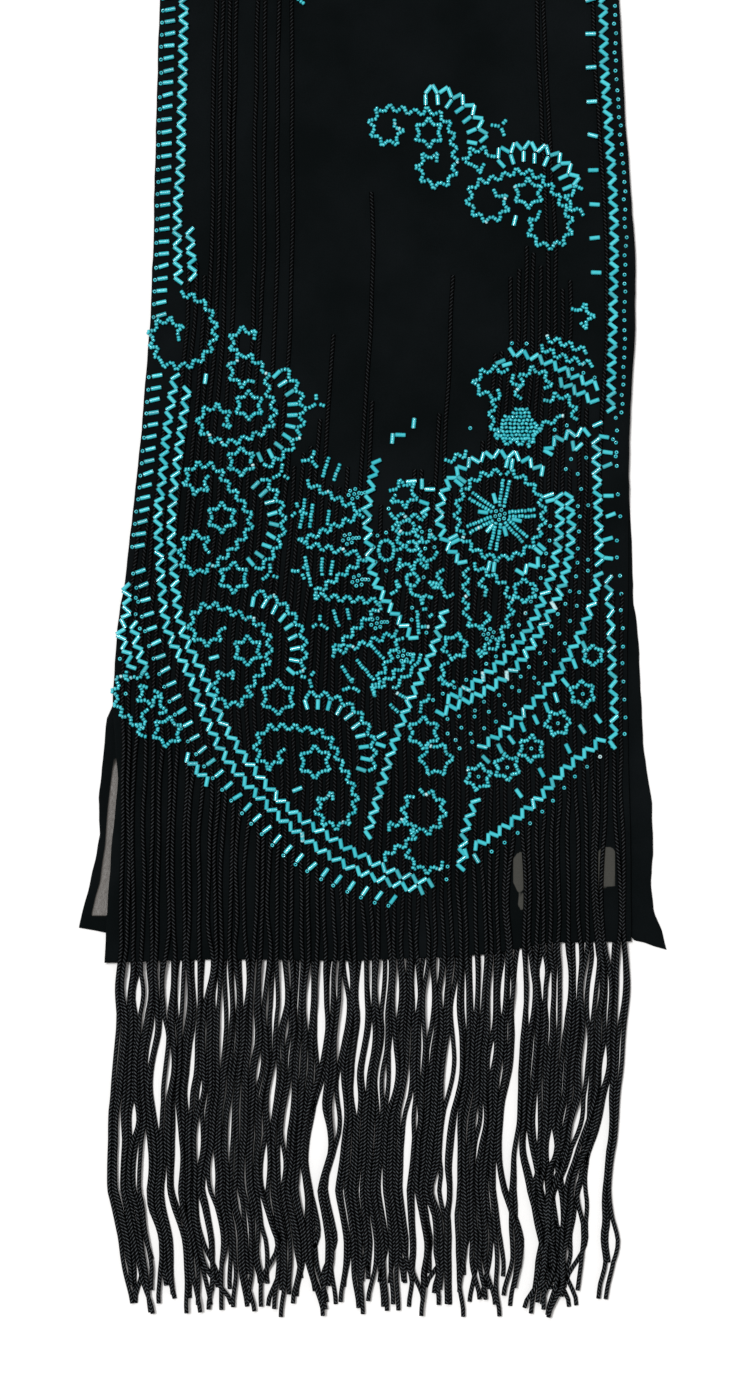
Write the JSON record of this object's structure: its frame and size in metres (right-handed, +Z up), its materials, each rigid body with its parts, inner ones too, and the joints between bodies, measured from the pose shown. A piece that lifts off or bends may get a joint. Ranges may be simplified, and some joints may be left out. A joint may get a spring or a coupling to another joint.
{
  "type": "folded evening stole",
  "caption": "Black chiffon evening stole folded once and laid flat, with couched cords, glass bead embroidery, a pointed cord line and long cord fringe at both ends.",
  "frame": {"origin": "middle of the whole outline, on the table the stole lies on", "axes": "+X across the stole to the right as seen from above, +Y along the stole from the fringe to the fold, +Z up off the table"},
  "size_m": [0.318, 0.9504, 0.006],
  "materials": {
    "chiffon": "matt crepe chiffon",
    "cord": "twisted rayon cord with a low sheen",
    "bead": "opaque turquoise glass"
  },
  "bodies": {
    "root": {"lower_half": "chiffon", "upper_half": "chiffon", "lower_fringe": "cord", "upper_fringe": "cord"}
  },
  "joints": []
}
